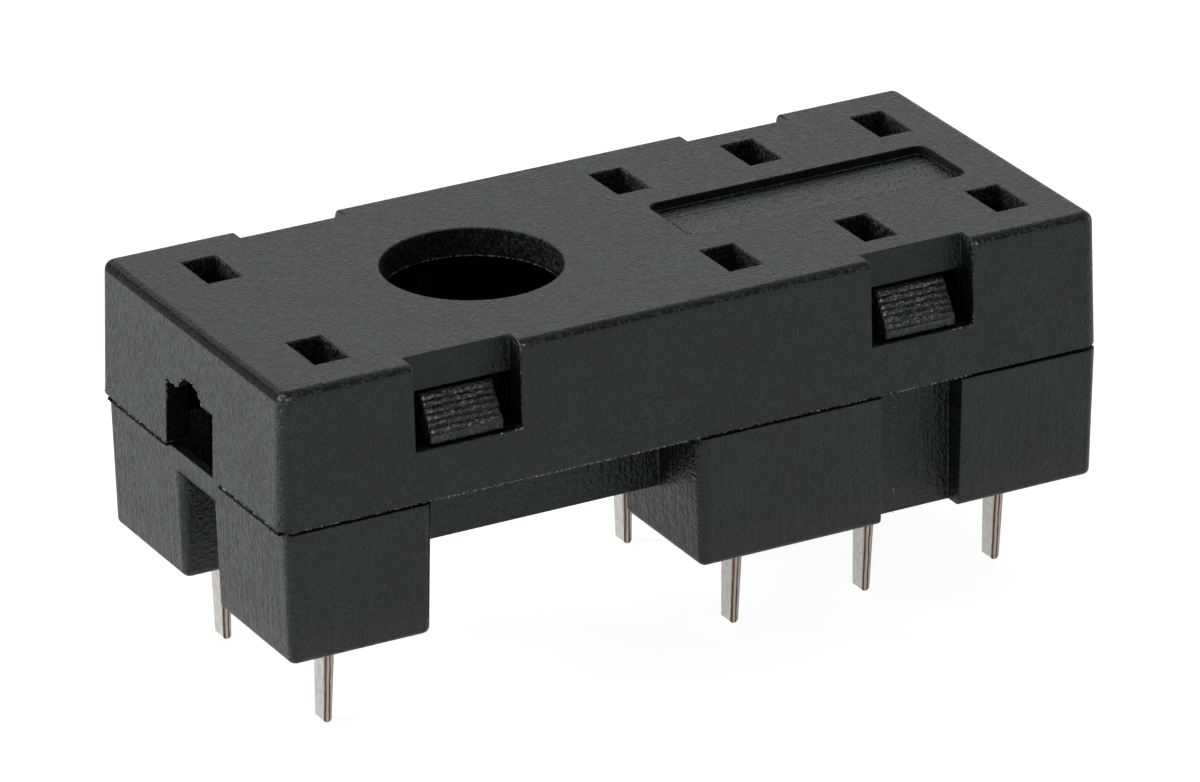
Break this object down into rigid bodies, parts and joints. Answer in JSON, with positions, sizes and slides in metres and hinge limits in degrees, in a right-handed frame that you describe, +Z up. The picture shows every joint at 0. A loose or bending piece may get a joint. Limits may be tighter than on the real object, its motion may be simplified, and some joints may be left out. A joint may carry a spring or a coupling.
{
  "type": "relay socket",
  "caption": "Two-part plastic socket for a plug-in relay, with stamped fork contacts, solder pins, snap hooks and end openings for a holding clip.",
  "frame": {"origin": "centre of the socket's outline, at the tips of the solder pins", "axes": "+X along the length from the coil end to the contact end, +Y across the rows, +Z up out of the face that the relay sits on"},
  "size_m": [0.03, 0.013, 0.013],
  "materials": {
    "cover_plastic": "fine spark-eroded grain, charcoal black",
    "base_plastic": "fine spark-eroded grain, charcoal black",
    "tinned_strip": "tinned broad faces with bare sheared edges"
  },
  "bodies": {
    "root": {"cover": "cover_plastic", "base": "base_plastic", "coil_contact_front": "tinned_strip", "coil_contact_back": "tinned_strip", "front_contact_inner": "tinned_strip", "front_contact_middle": "tinned_strip", "front_contact_outer": "tinned_strip", "back_contact_inner": "tinned_strip", "back_contact_middle": "tinned_strip", "back_contact_outer": "tinned_strip"}
  },
  "joints": []
}
